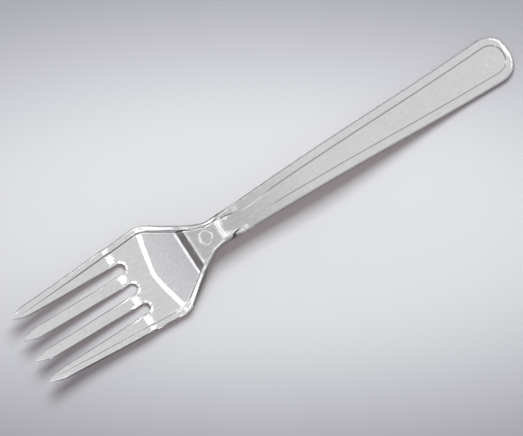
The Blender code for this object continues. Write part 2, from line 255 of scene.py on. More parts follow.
def dish(x, y):
    depth = mix(DISH_AT_TINES, DISH_AT_NECK, ease(ROOT_X, PLATE_X, x))
    depth *= 1 - ease(PLATE_X, PANEL_X, x)
    side = math.hypot(y, DISH_FOLD) - DISH_FOLD
    return depth * side / (math.hypot(HEAD_WIDTH / 2, DISH_FOLD) - DISH_FOLD)


print("underside in mm every 15 mm:", [round(underside(x), 1) for x in range(0, 166, 15)])

# %% [markdown]
# ## Thickness and steps
#
# The tines are thick and the bowl behind them thin, with a short ramp between. Behind the
# bowl the floor steps up to the neck plate, which lies in a pocket between two walls and
# ends in a rounded wall. From there the handle's sunk panel starts. Each feature is one
# ramp in one function, so its place and its depth stay readable.

# %% Heights of the upper face
TIP_LENGTH = 4.6
TINE_THICKNESS = 2.25
TINE_THICKNESS_AT_TIPS = 1.15
TIP_THICKNESS = 1.05
WEB_THICKNESS = 1.2
ROOT_RAMP = 2.8
CUSP_REACH = 0.6
CUSP_X = ROOT_X + CUSP_REACH
SHANK_END_X = CUSP_X - ROOT_RAMP
RIM_STEP = 0.9
RIM_STEP_AT_TIPS = 0.15
SHOULDER_HEIGHT = 4.0
HANDLE_HEIGHT = 2.6
NECK_PLATE_DEPTH = 1.0
POCKET_WALL_SHARE = 0.75
POCKET_RUNOUT_BULGE = 2.4
PANEL_FADE = 11.0
PANEL_DEPTH = 0.5


def plate_thickness(x):
    tine = mix(TINE_THICKNESS_AT_TIPS, TINE_THICKNESS, ramp(TIP_LENGTH, SHANK_END_X, x))
    tine = mix(TIP_THICKNESS, tine, ramp(0, TIP_LENGTH, x))
    return mix(tine, WEB_THICKNESS, ramp(SHANK_END_X, CUSP_X, x))


def rail_height(x):
    """Rim or border, from its underside to its ridge."""
    step_at_tip = RIM_STEP_AT_TIPS * ramp(0, TIP_LENGTH, x)
    height = plate_thickness(x) + mix(step_at_tip, RIM_STEP, ease(0, ROOT_X, x))
    height = mix(height, SHOULDER_HEIGHT, ease(CORNER_X, STEP_X, x))
    return mix(height, HANDLE_HEIGHT, ease(POCKET_X, PANEL_X, x))


def pocket_bulge(x, across):
    """How far a row bends towards the handle at the rounded end of the neck pocket."""
    share = ramp(WALL_TOP_X, POCKET_TOP_X, x) * (1 - ramp(POCKET_TOP_X, PANEL_X, x))
    return POCKET_RUNOUT_BULGE * share * (1 - across * across)


def floor_height(x, y):
    """Upper face between the rims, above the underside."""
    rail = rail_height(x)
    height = mix(plate_thickness(x), rail - NECK_PLATE_DEPTH, ramp(STEP_X, PLATE_X, x))
    across = min(abs(y) / foot_line(x), 1.0)
    pocket_top = POCKET_TOP_X + pocket_bulge(POCKET_TOP_X, across)
    risen = POCKET_WALL_SHARE * ramp(POCKET_X, WALL_TOP_X, x)
    risen += (1 - POCKET_WALL_SHARE) * ease(WALL_TOP_X, pocket_top, x)
    return mix(height, rail, risen) - PANEL_DEPTH * ease(PANEL_X, PANEL_X + PANEL_FADE, x)


for x in (TIP_LENGTH, ROOT_X, STEP_X, END_X):
    print(f"at {x:.0f} mm: floor {floor_height(x, 0):.2f} mm, rim {rail_height(x):.2f} mm high")

# %% [markdown]
# ## Hollows below
#
# To save plastic and to cool evenly, the underside is hollow below the neck plate and the
# handle, with a low rib along the middle. Through clear plastic these lines show from
# above, as the soft grey lines of the handle.

# %% Heights of the lower face
STEP_LAG = 0.6
NECK_PLATE_THICKNESS = 1.3
CHANNEL_DEPTH = 0.3
CHANNEL_FADE = 30.0
RIB_LENGTH = 45.0
RIB_FADE = 15.0
RIB_WIDTH = 1.6
RIB_HEIGHT = 0.12
RIB_RAMP = 1.0
RIB_COLUMNS = 2
UNDER_STEP_X = STEP_X + STEP_LAG
RIB_X = PAD_X - RIB_LENGTH


def channel_depth(x):
    plate = rail_height(x) - NECK_PLATE_DEPTH - NECK_PLATE_THICKNESS
    depth = mix(plate, CHANNEL_DEPTH, ease(POCKET_X, PANEL_X, x))
    stepped = ramp(UNDER_STEP_X, UNDER_STEP_X + STEP_LENGTH, x)
    return depth * stepped * (1 - ease(PAD_X - CHANNEL_FADE, PAD_X, x))


def rib_height(x):
    room = min(channel_depth(x), RIB_HEIGHT)
    return room * ease(RIB_X, RIB_X + RIB_FADE, x)


print("hollow under the neck plate:", round(channel_depth(POCKET_X), 2), "mm deep")

# %% [markdown]
# ## Points that carry two heights
#
# Every point of the plan holds x, y and the height of both faces there. Three kinds of
# point are enough: one on the plate, one on the bevel that runs along the slots, and the
# four of the rim.

# %% Points of the plan
SLOT_BEVEL = 0.95
SLOT_BEVEL_AT_TIPS = 0.3
BEVEL_WIDENS_OVER = 10.3
SLOT_BEVEL_DROP = 0.4
UNDER_BEVEL = 0.25
HEAD_EDGE_DROP = 0.7
SHOULDER_EDGE_DROP = 3.3
HANDLE_EDGE_DROP = 0.9
BORDER_FALL = 0.35


def point(x, y, top, bottom):
    base = underside(x) + dish(x, y)
    return (x, y, base + top, base + bottom)


def plate_point(x, y):
    across = min(abs(y) / foot_line(x), 1.0)
    cove = 1 - across ** 2 * ease(POCKET_X, PANEL_X, x)
    return point(x, y, floor_height(x, y), channel_depth(x) * cove)


def slot_edge_point(x, y):
    fade = ramp(0, TIP_LENGTH, x)
    return point(x, y, plate_thickness(x) - SLOT_BEVEL_DROP * fade, UNDER_BEVEL * fade)


def rim_points(x, lines):
    fade = ramp(0, TIP_LENGTH, x)
    rail = rail_height(x)
    drop = mix(HEAD_EDGE_DROP * fade, SHOULDER_EDGE_DROP, ease(CORNER_X, STEP_X, x))
    drop = mix(drop, HANDLE_EDGE_DROP, ease(PLATE_X, NECK_X, x))
    fall = BORDER_FALL * ease(PLATE_X, PANEL_X, x)
    foot, ridge, bevel, edge = lines
    return [
        plate_point(x, foot),
        point(x, ridge, rail, 0.0),
        point(x, bevel, rail - fall, 0.0),
        point(x, edge, rail - drop, UNDER_BEVEL * fade),
    ]


shoulder = rim_points(CORNER_X, rim_lines(CORNER_X))
print("rim at the shoulder, (across, top):", [(round(y, 1), round(top, 1)) for _, y, top, _ in shoulder])

# %% [markdown]
# ## Tines and slots
#
# Each tine is a strip of rows from its tip to the root of the slots, and rows crowd
# towards the tip where the outline curves most. The closed end of each slot is a fan of
# short radial lines, so the bevel runs round it at an even width.

# %% Rows across the tines
TIP_WIDTH = 0.4
TIP_FULLNESS = 0.85
SLOT_WIDTH_AT_TIPS = 3.8
SLOT_PITCH = 6.78
SLOT_PITCH_AT_TIPS = 7.05
TINE_ROWS = 9
TIP_ROWS = 5
TIP_ROW_CROWDING = 1.5


def slot_centre(x):
    return mix(SLOT_PITCH_AT_TIPS, SLOT_PITCH, ramp(TIP_LENGTH, ROOT_X, x))


def slot_bevel(x):
    return mix(SLOT_BEVEL_AT_TIPS, SLOT_BEVEL, ease(SHANK_END_X - BEVEL_WIDENS_OVER, SHANK_END_X, x))


def slot_half(x):
    return mix(SLOT_WIDTH_AT_TIPS, SLOT_WIDTH, ramp(TIP_LENGTH, ROOT_X, x)) / 2


def tine_rim_lines(x, inside):
    """The rim's lines on the outer tine, closer together where the tine is slim."""
    lines = rim_lines(x)
    room = lines[-1] - inside
    narrowing = min(1.0, room / (lines[-1] - lines[0] + slot_bevel(x)))
    return [lines[-1] - (lines[-1] - y) * narrowing for y in lines]


def tine_row(x, inner, cusp=0.0):
    full = max(x, TIP_LENGTH)
    low = slot_half(full) if inner else slot_centre(full) + slot_half(full)
    high = slot_centre(full) - slot_half(full) if inner else half_width(full)
    middle = (low + high) / 2
    tip_share = TIP_WIDTH / (high - low)
    squeeze = mix(tip_share, 1.0, ramp(0, TIP_LENGTH, x) ** TIP_FULLNESS)

    def squeezed(y):
        return middle + (y - middle) * squeeze

    bevel = slot_bevel(x)
    start = squeezed(low + bevel)
    row = [slot_edge_point(x, squeezed(low)), plate_point(x, start)]
    if inner:
        end = squeezed(high - bevel)
        row.append(plate_point(x + cusp, (start + end) / 2))
        return row + [plate_point(x, end), slot_edge_point(x, squeezed(high))]
    lines = [squeezed(y) for y in tine_rim_lines(full, low + bevel)]
    row.append(plate_point(x + cusp, (start + lines[0]) / 2))
    return row + rim_points(x, lines)


def tine_patch(inner):
    tip = [TIP_LENGTH * (step / TIP_ROWS) ** TIP_ROW_CROWDING for step in range(TIP_ROWS)]
    shank = [mix(TIP_LENGTH, SHANK_END_X, step / TINE_ROWS) for step in range(TINE_ROWS + 1)]
    rows = [tine_row(x, inner) for x in tip + shank]
    rows.append(tine_row((SHANK_END_X + ROOT_X) / 2, inner, CUSP_REACH / 2))
    return rows + [tine_row(ROOT_X, inner, CUSP_REACH)]


for inner, name in ((True, "inner"), (False, "outer")):
    print(name, "tine:", len(tine_patch(inner)), "rows of", len(tine_row(ROOT_X, inner)), "points")

# %% Round ends of the slots
ARC_STEPS = 8


def arc_angles(start, end, steps):
    return [math.radians(mix(start, end, step / steps)) for step in range(steps + 1)]


def slot_arc(centre, angles, offset):
    radius = SLOT_WIDTH / 2 + offset
    return [(ROOT_X + radius * math.cos(a), centre + radius * math.sin(a)) for a in angles]


def slot_end_patch(centre, angles):
    edge = [slot_edge_point(x, y) for x, y in slot_arc(centre, angles, 0.0)]
    inside = [plate_point(x, y) for x, y in slot_arc(centre, angles, SLOT_BEVEL)]
    return [edge, inside]


CENTRE_SLOT = (0.0, arc_angles(0, 90, ARC_STEPS // 2))
OUTER_SLOT = (SLOT_PITCH, arc_angles(-90, 90, ARC_STEPS))
print("radial lines round a slot's end:", len(OUTER_SLOT[1]))

# %% [markdown]
# ## Bowl, neck and handle
#
# From the slots to the handle's end every row has the same number of points, so the mesh
# stays a clean grid of quads that a subdivision surface can smooth. Rows stand closer
# together where the form changes and wide apart along the plain handle. How near the next
# row is to an edge also sets how wide that edge is rounded. On the real fork the foot of
# the step has a broad round that catches a bold white line, so one row is left out there.

# %% Places across and along the body
FIRST_ROW_GAP = 0.9
HEAD_ROW_SPACING = 1.5
HANDLE_ROW_SPACING = 5.0


def root_line():
    """Places across the web, along the slots' bevels and the middles of the tines."""
    centre_slot = slot_arc(*CENTRE_SLOT, SLOT_BEVEL)
    outer_slot = slot_arc(*OUTER_SLOT, SLOT_BEVEL)
    inner_tine = [(CUSP_X, (centre_slot[-1][1] + outer_slot[0][1]) / 2)]
    outer_tine = [(CUSP_X, (outer_slot[-1][1] + foot_line(ROOT_X)) / 2)]
    return centre_slot + inner_tine + outer_slot + outer_tine


def across_places(x):
    """Places from the centre line to the rim's foot, which change evenly along the body."""
    foot = foot_line(x)
    head = [y / foot_line(ROOT_X) * foot for _, y in root_line()]
    even = [foot * step / len(head) for step in range(len(head))]
    rib = [0.0, RIB_WIDTH / 2, RIB_WIDTH / 2 + RIB_RAMP]
    gaps = len(head) - len(rib) + 1
    ribbed = rib + [mix(rib[-1], foot, step / gaps) for step in range(1, gaps)]
    places = [mix(a, b, ease(CORNER_X, POCKET_X, x)) for a, b in zip(head, even)]
    return [mix(a, b, ease(PANEL_X, RIB_X, x)) for a, b in zip(places, ribbed)]


def body_row(x):
    row = []
    for index, place in enumerate(across_places(x)):
        across = place / foot_line(x)
        along = x + pocket_bulge(x, across)
        _, y, top, bottom = plate_point(along, across * foot_line(along))
        if index < RIB_COLUMNS:
            bottom -= rib_height(along)
        row.append((along, y, top, bottom))
    return row + rim_points(x, rim_lines(x))


def body_places():
    start = TINE_LENGTH + SLOT_BEVEL + FIRST_ROW_GAP
    changes = [start, STEP_X, UNDER_STEP_X, PLATE_X, UNDER_STEP_X + STEP_LENGTH, POCKET_X]
    changes += [WALL_TOP_X, POCKET_TOP_X, PANEL_X, PANEL_X + PANEL_FADE]
    changes += [PAD_X - CHANNEL_FADE, PAD_X, END_X]
    places = []
    for near, far in zip(changes, changes[1:]):
        smooth = PANEL_X <= near < PAD_X
        spacing = HANDLE_ROW_SPACING if smooth else HEAD_ROW_SPACING
        count = math.ceil((far - near) / spacing)
        places += [mix(near, far, step / count) for step in range(count)]
    row_before_step = max(x for x in places if x < STEP_X)
    places.remove(row_before_step)
    return places + [END_X]


print(len(body_places()), "rows of", len(body_row(END_X)), "points from the slots to the handle's end")

# %% Patches of the body
def web_patch():
    """From the slots' round ends to the first straight row of the body."""
    end_x = body_places()[0]
    middle_x = (ROOT_X + end_x) / 2
    web = [plate_point(x, y) for x, y in root_line()]
    end = body_row(end_x)
    middle = []
    for near, far in zip(web, end):
        middle.append(plate_point((near[0] + far[0]) / 2, (near[1] + far[1]) / 2))
    start = web + rim_points(ROOT_X, rim_lines(ROOT_X))
    return [start, middle + rim_points(middle_x, rim_lines(middle_x)), end]


def end_arc(angle, reach, half):
    power = 2 / END_SQUARENESS
    return END_X + reach * math.cos(angle) ** power, half * math.sin(angle) ** power


def end_patches():
    """The handle's rounded end: the panel inside, and the border that turns round it."""
    across = across_places(END_X) + [foot_line(END_X)]
    halves = rim_lines(END_X)
    panel_reach = END_RADIUS - BORDER_WIDTH_AT_END
    reaches = [panel_reach, panel_reach + PANEL_RAMP, END_RADIUS - HANDLE_BEVEL, END_RADIUS]
    border = []
    for angle in arc_angles(0, 90, len(across) - 1):
        places = [end_arc(angle, reach, half) for reach, half in zip(reaches, halves)]
        border.append([rim_points(x, [y] * len(places))[part] for part, (x, y) in enumerate(places)])
    diameter = [plate_point(END_X, y) for y in across]
    arc = [radial[0] for radial in border]
    middle = []
    for near, far in zip(diameter, arc):
        middle.append(plate_point((near[0] + far[0]) / 2, (near[1] + far[1]) / 2))
    return [[diameter, middle, arc], border]


print(len(web_patch()), "rows in the web,", len(end_patches()[1]), "radial lines in the handle's end")

# %% [markdown]
# ## From the plan to a closed piece
#
# The patches meet along shared points, so they are collected in one sheet that stores each
# point once. The sheet is lifted twice, to the upper and to the lower face, and walls close
# the outline. A second way would be to extrude the outline and carve every form with
# Booleans, but that leaves long thin triangles, which wrinkle the reflections in a clear
# part.

# %% The sheet
WELD_CELL = 0.0001


class Sheet:
    def __init__(self):
        self.places = {}
        self.points = []
        self.faces = []

    def add_point(self, place):
        column, row = round(place[0] / WELD_CELL), round(place[1] / WELD_CELL)
        for key in product((column, column - 1, column + 1), (row, row - 1, row + 1)):
            if key in self.places:
                return self.places[key]
        self.places[column, row] = len(self.points)
        self.points.append(place)
        return self.places[column, row]

    def add_face(self, corners):
        indices = [self.add_point(corner) for corner in corners]
        unique = [v for i, v in enumerate(indices) if v != indices[i - 1]]
        if len(unique) > 2:
            self.faces.append(anticlockwise(unique, self.points))

    def add_patch(self, rows):
        for row, after in zip(rows, rows[1:]):
            for i in range(len(row) - 1):
                self.add_face([row[i], after[i], after[i + 1], row[i + 1]])

    def add_patch_and_mirror(self, rows):
        self.add_patch(rows)
        self.add_patch([[(x, -y, top, bottom) for x, y, top, bottom in row] for row in rows])

    def rim_edges(self):
        """Directed edges that only one face uses."""
        used = set()
        for face in self.faces:
            used.update(zip(face, face[1:] + face[:1]))
        return [(a, b) for a, b in used if (b, a) not in used]


def anticlockwise(face, points):
    area = 0.0
    for a, b in zip(face, face[1:] + face[:1]):
        area += points[a][0] * points[b][1] - points[b][0] * points[a][1]
    return face if area > 0 else face[::-1]


print("points closer than", WELD_CELL, "mm become one")

# %% The fork as quads
def fork_sheet():
    patches = [tine_patch(inner=True), tine_patch(inner=False)]
    patches += [slot_end_patch(*CENTRE_SLOT), slot_end_patch(*OUTER_SLOT)]
    patches += [web_patch(), [body_row(x) for x in body_places()]]
    sheet = Sheet()
    for rows in patches + end_patches():
        sheet.add_patch_and_mirror(rows)
    return sheet


def closed_mesh(sheet):
    bm = bmesh.new()
    shift = LENGTH / 2
    top = [bm.verts.new(((x - shift) * MM, y * MM, z * MM)) for x, y, z, _ in sheet.points]
    bottom = [bm.verts.new(((x - shift) * MM, y * MM, z * MM)) for x, y, _, z in sheet.points]
    for face in sheet.faces:
        bm.faces.new([top[v] for v in face])
        bm.faces.new([bottom[v] for v in reversed(face)])
    for a, b in sorted(sheet.rim_edges()):
        bm.faces.new([top[b], top[a], bottom[a], bottom[b]])
    bm.normal_update()
    return bm


fork_bm = closed_mesh(fork_sheet())
print(len(fork_bm.faces), "faces before smoothing")

# %% [markdown]
# ## Corners of polished steel
#
# The mould's corners are polished to a radius of a tenth or two of a millimetre. A knife-
# sharp edge has no width and can't catch light, and on the real fork these tiny radii make
# the thin white lines. A subdivision surface gives them: each edge gets a crease by how
# steeply its faces meet, and the crease stays below 1, so that a small radius is left.
# Only the step round the handle's panel is so low that its corners look sharp and draw a
# thin grey line. Its edges are marked sharp, which splits the shading there.

# %% Creases and sharp edges
SMOOTH_BELOW = math.radians(4)
SHARPEST_FROM = math.radians(18)
FULLEST_CREASE = 0.95
SHARP_INSIDE_BORDER = 1.3


def on_panel(vertex):
    """Whether a vertex lies on the handle's panel or the step round it."""
    x, y = vertex.co.x / MM + LENGTH / 2, abs(vertex.co.y / MM)
    reach = math.hypot(max(x - END_X, 0.0), y)
    return x > PANEL_X and reach < half_width(min(x, END_X)) - SHARP_INSIDE_BORDER


crease = fork_bm.edges.layers.float.new("crease_edge")
for edge in fork_bm.edges:
    angle = edge.calc_face_angle()
    edge[crease] = FULLEST_CREASE * ramp(SMOOTH_BELOW, SHARPEST_FROM, angle)
    edge.smooth = angle < SHARPEST_FROM or not all(on_panel(vertex) for vertex in edge.verts)
print(sum(not edge.smooth for edge in fork_bm.edges), "sharp edges round the panel")

# %% Subdivision
SUBDIVISION_LEVELS = 2

fork_mesh = bpy.data.meshes.new("fork_moulding")
fork_bm.to_mesh(fork_mesh)
fork_bm.free()
fork_mesh.shade_smooth()
fork = bpy.data.objects.new("fork_moulding", fork_mesh)
bpy.context.scene.collection.objects.link(fork)

smoothing = fork.modifiers.new("mould_corner_radii", "SUBSURF")
smoothing.levels = SUBDIVISION_LEVELS
smoothing.render_levels = SUBDIVISION_LEVELS
smoothed = fork.evaluated_get(bpy.context.evaluated_depsgraph_get()).data
print(len(smoothed.polygons) * 2, "triangles after smoothing")

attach(fork, "root")
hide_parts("fork")

# %% [markdown]
# ## Tools for materials
#
# Colours are written as sRGB hex values, as a colour picker gives them. Blender's shaders
# work in linear light, so one function converts them. A second function adds a node,
# sets its values and makes its links in one line.

# %% Colour and node helpers
def linear(hex_colour):
    channels = [int(hex_colour[i:i + 2], 16) / 255 for i in (1, 3, 5)]
    return [c / 12.92 if c <= 0.04045 else ((c + 0.055) / 1.055) ** 2.4 for c in channels] + [1.0]


def add_node(tree, kind, links=None, inputs=None, **settings):
    """One node, with its settings, its socket values and what is linked into it."""
    node = tree.nodes.new(kind)
    for name, value in settings.items():
        setattr(node, name, value)
    for name, value in (inputs or {}).items():
        node.inputs[name].default_value = value
    for name, source in (links or {}).items():
        tree.links.new(source, node.inputs[name])
    return node


def add_ramp(tree, share, colours, interpolation="LINEAR"):
    """Colour ramp through (position, hex colour) pairs."""
    node = add_node(tree, "ShaderNodeValToRGB", {"Fac": share})
    node.color_ramp.interpolation = interpolation
    stops = node.color_ramp.elements
    while len(stops) < len(colours):
        stops.new(0.5)
    for stop, (position, hex_colour) in zip(stops, colours):
        stop.position = position
        stop.color = linear(hex_colour)
    return node


print("mid grey #808080 in linear light:", round(linear("#808080")[0], 3))

# %% [markdown]
# ## Clear polystyrene, moulded against polished steel
#
# General-purpose polystyrene bends light more than window glass: its index of refraction is
# 1.59, so its edges sparkle. The mould's polish makes it glossy. It is close to colourless,
# and still the eye sees that it is a cheap moulding: the faces wave gently, because the
# plastic shrinks unevenly as it cools, and the melt leaves faint flow marks along the fork.
# A noise stretched along the fork gives the marks, and a wide shallow bump gives the waves.
# Real flow marks are mostly finer than a pixel of this picture, which is 0.29 mm wide, so
# they are drawn 0.7 mm wide here.

# %% Clear polystyrene
PS_IOR = 1.59
PS_ROUGHNESS = 0.01
PS_TINT = linear("#F6F6F6")
PS_FLOW_TINT = linear("#E9E9E9")
FLOW_STRETCH = (0.4, 1.0, 1.0)
FLOW_WIDTH = 0.7
FLOW_DETAIL = 3.0
FLOW_FROM = 0.3
FLOW_TO = 0.7
WAVE_LENGTH = 7.0
WAVE_DEPTH = 0.004
WAVE_DETAIL = 1.5
WAVE_ROUGHNESS = 0.4

plastic = bpy.data.materials.new("polystyrene_clear_moulded")
plastic.use_nodes = True
tree = plastic.node_tree
tree.nodes.clear()

place = add_node(tree, "ShaderNodeTexCoord").outputs["Object"]
wave = add_node(tree, "ShaderNodeTexNoise", {"Vector": place},
                {"Scale": 1 / (WAVE_LENGTH * MM), "Detail": WAVE_DETAIL, "Roughness": WAVE_ROUGHNESS})
wave_bump = add_node(tree, "ShaderNodeBump", {"Height": wave.outputs["Fac"]},
                     {"Strength": 1.0, "Distance": WAVE_DEPTH * MM})
flow_place = add_node(tree, "ShaderNodeMapping", {"Vector": place}, {"Scale": FLOW_STRETCH})
flow = add_node(tree, "ShaderNodeTexNoise", {"Vector": flow_place.outputs["Vector"]},
                {"Scale": 1 / (FLOW_WIDTH * MM), "Detail": FLOW_DETAIL})
patches = add_node(tree, "ShaderNodeMapRange", {"Value": flow.outputs["Fac"]},
                   {"From Min": FLOW_FROM, "From Max": FLOW_TO})
tint = add_node(tree, "ShaderNodeMix", {"Factor": patches.outputs["Result"]}, data_type="RGBA")
tint.inputs["A"].default_value = PS_TINT
tint.inputs["B"].default_value = PS_FLOW_TINT
print(f"flow marks {FLOW_WIDTH} mm wide, waves {WAVE_LENGTH} mm long and {WAVE_DEPTH} mm deep")

# %% [markdown]
# ## Dark walls
#
# Light that enters a steep wall is thrown far to the side, into the dark of the studio. That
# is why the fork's walls look grey to black. A path tracer finds those paths too, but what
# they meet is a studio that the photograph doesn't show. So the material takes a shortcut:
# the steeper a face stands, the darker its tint, with greys matched. Rays that are
# already inside the plastic use the angle at which they meet the face instead. The neck
# looks a little greyer than the rest, so a second ramp tints it by place along the fork.

# %% Tint by steepness and by place
TILT_TINTS = [(0.0, "#FFFFFF"), (0.13, "#FFFFFF"), (0.3, "#A19D9B"), (0.45, "#6A6664"),
              (0.62, "#2B2826"), (0.78, "#0A0909")]
# The greys along the fork are painted shade: the step and the neck plate are tinted slightly greyer.
NECK_SHADE_TINTS = [(0.0, "#FFFFFF"), (43.0, "#FFFFFF"), (STEP_X, "#EDEEF0"), (PLATE_X, "#E1E1E1"),
              (72.0, "#E3E3E3"), (95.0, "#FFFFFF")]

shape = add_node(tree, "ShaderNodeNewGeometry")
facing = add_node(tree, "ShaderNodeSeparateXYZ", {0: shape.outputs["Normal"]})
upward = add_node(tree, "ShaderNodeMath", {0: facing.outputs["Z"]}, operation="ABSOLUTE")
steepness = add_node(tree, "ShaderNodeMath", {1: upward.outputs["Value"]}, {0: 1.0},
                     operation="SUBTRACT")
glance = add_node(tree, "ShaderNodeLayerWeight", inputs={"Blend": 0.5})
tilt = add_node(tree, "ShaderNodeMix", {"Factor": shape.outputs["Backfacing"],
                "A": steepness.outputs["Value"], "B": glance.outputs["Facing"]})
by_tilt = add_ramp(tree, tilt.outputs["Result"], TILT_TINTS)
along = add_node(tree, "ShaderNodeSeparateXYZ", {0: place})
length_share = add_node(tree, "ShaderNodeMapRange", {"Value": along.outputs["X"]},
                        {"From Min": -LENGTH / 2 * MM, "From Max": LENGTH / 2 * MM})
# Painted shade along the neck, set by place along the fork.
painted_neck_shade = add_ramp(tree, length_share.outputs["Result"],
                    [(x / LENGTH, shade) for x, shade in NECK_SHADE_TINTS])
colour = tint.outputs["Result"]
for shade in (by_tilt, painted_neck_shade):
    colour = add_node(tree, "ShaderNodeMix", {"A": colour, "B": shade.outputs["Color"]},
                      {"Factor": 1.0}, data_type="RGBA", blend_type="MULTIPLY").outputs["Result"]
print("tints:", len(TILT_TINTS), "by steepness,", len(NECK_SHADE_TINTS), "along the fork")

# %% [markdown]
# ## The step and the edges
#
# The step before the neck looks towards the tips and is drawn as an even grey band without
# a reflection. So steep faces that look that way are rougher, as if the mould maker had left
# them less polished, and their grey is painted shade, a darker tint multiplied in. Walls that
# stand almost upright also mirror the lamps less, because their gloss would turn them white.

# %% Matt steps
STEP_PAINTED_SHADE = linear("#ABA8A6")
STEP_ROUGHNESS = 0.3
FACES_TIPS_FROM = -0.62
FACES_TIPS_TO = -0.74
PS_MIRROR = 0.5
DULLER_FROM = 0.55
DULLEST_FROM = 0.8

steps = add_node(tree, "ShaderNodeMapRange", {"Value": facing.outputs["X"]},
                 {"From Min": FACES_TIPS_FROM, "From Max": FACES_TIPS_TO},
                 interpolation_type="SMOOTHSTEP")
# Painted shade: faces that look towards the tips are multiplied by a darker grey.
colour = add_node(tree, "ShaderNodeMix", {"Factor": steps.outputs["Result"], "A": colour},
                  {"B": STEP_PAINTED_SHADE}, data_type="RGBA", blend_type="MULTIPLY").outputs["Result"]
roughness = add_node(tree, "ShaderNodeMapRange", {"Value": steps.outputs["Result"]},
                     {"To Min": PS_ROUGHNESS, "To Max": STEP_ROUGHNESS})
mirror = add_node(tree, "ShaderNodeMapRange", {"Value": tilt.outputs["Result"]},
                  {"From Min": DULLER_FROM, "From Max": DULLEST_FROM,
                   "To Min": PS_MIRROR, "To Max": 0.0})
print("matt from", round(math.degrees(math.asin(-FACES_TIPS_FROM))), "degrees towards the tips")

# %% [markdown]
# ## Marks of the ejector pins
#
# The fork shrinks onto the mould as it cools, so steel pins push it out. Each leaves a
# faint round groove, one on the neck plate and one at the handle's end. They could be cut
# into the mesh, but they are only 0.04 mm deep, so a bump draws them.

# %% Ejector-pin marks
NECK_MARK = (60.2, 0.4, 1.9)
END_MARK = (158.8, -0.3, 1.3)
MARK_LINE = 0.35
MARK_DEPTH = 0.04


def ring_height(tree, place, mark):
    """A round groove where a steel pin pushed the warm fork out of the mould."""
    x, y, radius = mark
    centre = ((x - LENGTH / 2) * MM, y * MM, 0.0)
    flat = add_node(tree, "ShaderNodeVectorMath", {0: place}, operation="MULTIPLY")
    flat.inputs[1].default_value = (1.0, 1.0, 0.0)
    reach = add_node(tree, "ShaderNodeVectorMath", {0: flat.outputs["Vector"]}, operation="DISTANCE")
    reach.inputs[1].default_value = centre
    gap = add_node(tree, "ShaderNodeMath", {0: reach.outputs["Value"]}, {1: radius * MM},
                   operation="SUBTRACT")
    size = add_node(tree, "ShaderNodeMath", {0: gap.outputs["Value"]}, operation="ABSOLUTE")
    line = add_node(tree, "ShaderNodeMapRange", {"Value": size.outputs["Value"]},
                    {"From Min": 0.0, "From Max": MARK_LINE * MM, "To Min": -1.0, "To Max": 0.0},
                    interpolation_type="SMOOTHSTEP")
    return line.outputs["Result"]


normal = wave_bump.outputs["Normal"]
for mark in (NECK_MARK, END_MARK):
    bump = add_node(tree, "ShaderNodeBump", {"Height": ring_height(tree, place, mark), "Normal": normal},
                    {"Strength": 1.0, "Distance": MARK_DEPTH * MM})
    normal = bump.outputs["Normal"]
    print(f"pin mark {2 * mark[2]} mm across, {mark[0]} mm from the tips")

# %% [markdown]
# ## Plastic for the eye, tinted window for the lamps
#
# Light that passes through a clear part and then lights the table would need caustics,
# which a path tracer finds slowly. So rays that look for a lamp, and rays from the table,
# see a lightly tinted transparent surface instead. That gives the fork its soft grey shadow.

# %% The plastic's shader
SHADOW_TINT = linear("#BCB3B4")

plastic_shader = add_node(
    tree, "ShaderNodeBsdfPrincipled",
    {"Base Color": colour, "Normal": normal, "Roughness": roughness.outputs["Result"],
     "Specular IOR Level": mirror.outputs["Result"]},
    {"IOR": PS_IOR, "Transmission Weight": 1.0})
window = add_node(tree, "ShaderNodeBsdfTransparent", inputs={"Color": SHADOW_TINT})
rays = add_node(tree, "ShaderNodeLightPath")
soft_rays = add_node(tree, "ShaderNodeMath",
                     {0: rays.outputs["Is Shadow Ray"], 1: rays.outputs["Is Diffuse Ray"]},
                     operation="MAXIMUM")
choice = add_node(tree, "ShaderNodeMixShader",
                  {0: soft_rays.outputs["Value"], 1: plastic_shader.outputs["BSDF"],
                   2: window.outputs["BSDF"]})
add_node(tree, "ShaderNodeOutputMaterial", {"Surface": choice.outputs["Shader"]})
fork_mesh.materials.append(plastic)
print("plastic:", len(tree.nodes), "nodes")

# %% [markdown]
# ## The table
#
# Product photographers lay clear things on a sheet of matt paper whose light falls off
# towards the edges. The paper here is one plain sheet with that falloff painted into its
# grey: palest in a soft oval under the fork and greyer outwards. It takes the fork's shadow
# as paper does. Rays that come to it through the plastic find another brightness, a glow of
# its own: even and pale close to the fork, as if the shadow weren't there, and a painted
# dark, almost black, further out. The pale middle makes the plastic look clear, and the
# dark surroundings draw its bevels as dark lines. Places on the paper are given along the
# view's own directions, right and ahead.

# %% Matt paper sheet
HEADING = math.radians(32.79)
RIGHT = Vector((math.cos(HEADING), -math.sin(HEADING), 0.0))
AHEAD = Vector((math.sin(HEADING), math.cos(HEADING), 0.0))
PAPER_SIZE = 2.4
PAPER_GAP = 0.1
BRIGHT_SHAPE = (0.25, 1.0, 0.0)
BRIGHT_TO = 28.0
DARK_FROM = 45.0
DARK_LEVEL = 0.04
GLOW_GREY = linear("#E2E2E4")
OVAL_CENTRE = RIGHT * -3.0 + AHEAD * -8.0
OVAL_STRETCH = 2.6
GREY_EVERY = 10.0
# The paper's greys are painted light falloff: palest under the fork, greyer outwards.
PAPER_FALLOFF_GREYS = ["#E2E3E5", "#E2E3E5", "#E2E3E5", "#E0E1E4", "#D6D7DB", "#C9CACF", "#BABAC0",
               "#ABACB2", "#A0A0A7"]

paper_mesh = bpy.data.meshes.new("paper_sheet")
paper_bm = bmesh.new()
bmesh.ops.create_grid(paper_bm, x_segments=1, y_segments=1, size=PAPER_SIZE / 2)
paper_bm.to_mesh(paper_mesh)
paper_bm.free()
paper = bpy.data.objects.new("paper_sheet", paper_mesh)
paper.location.z = -PAPER_GAP * MM
bpy.context.scene.collection.objects.link(paper)

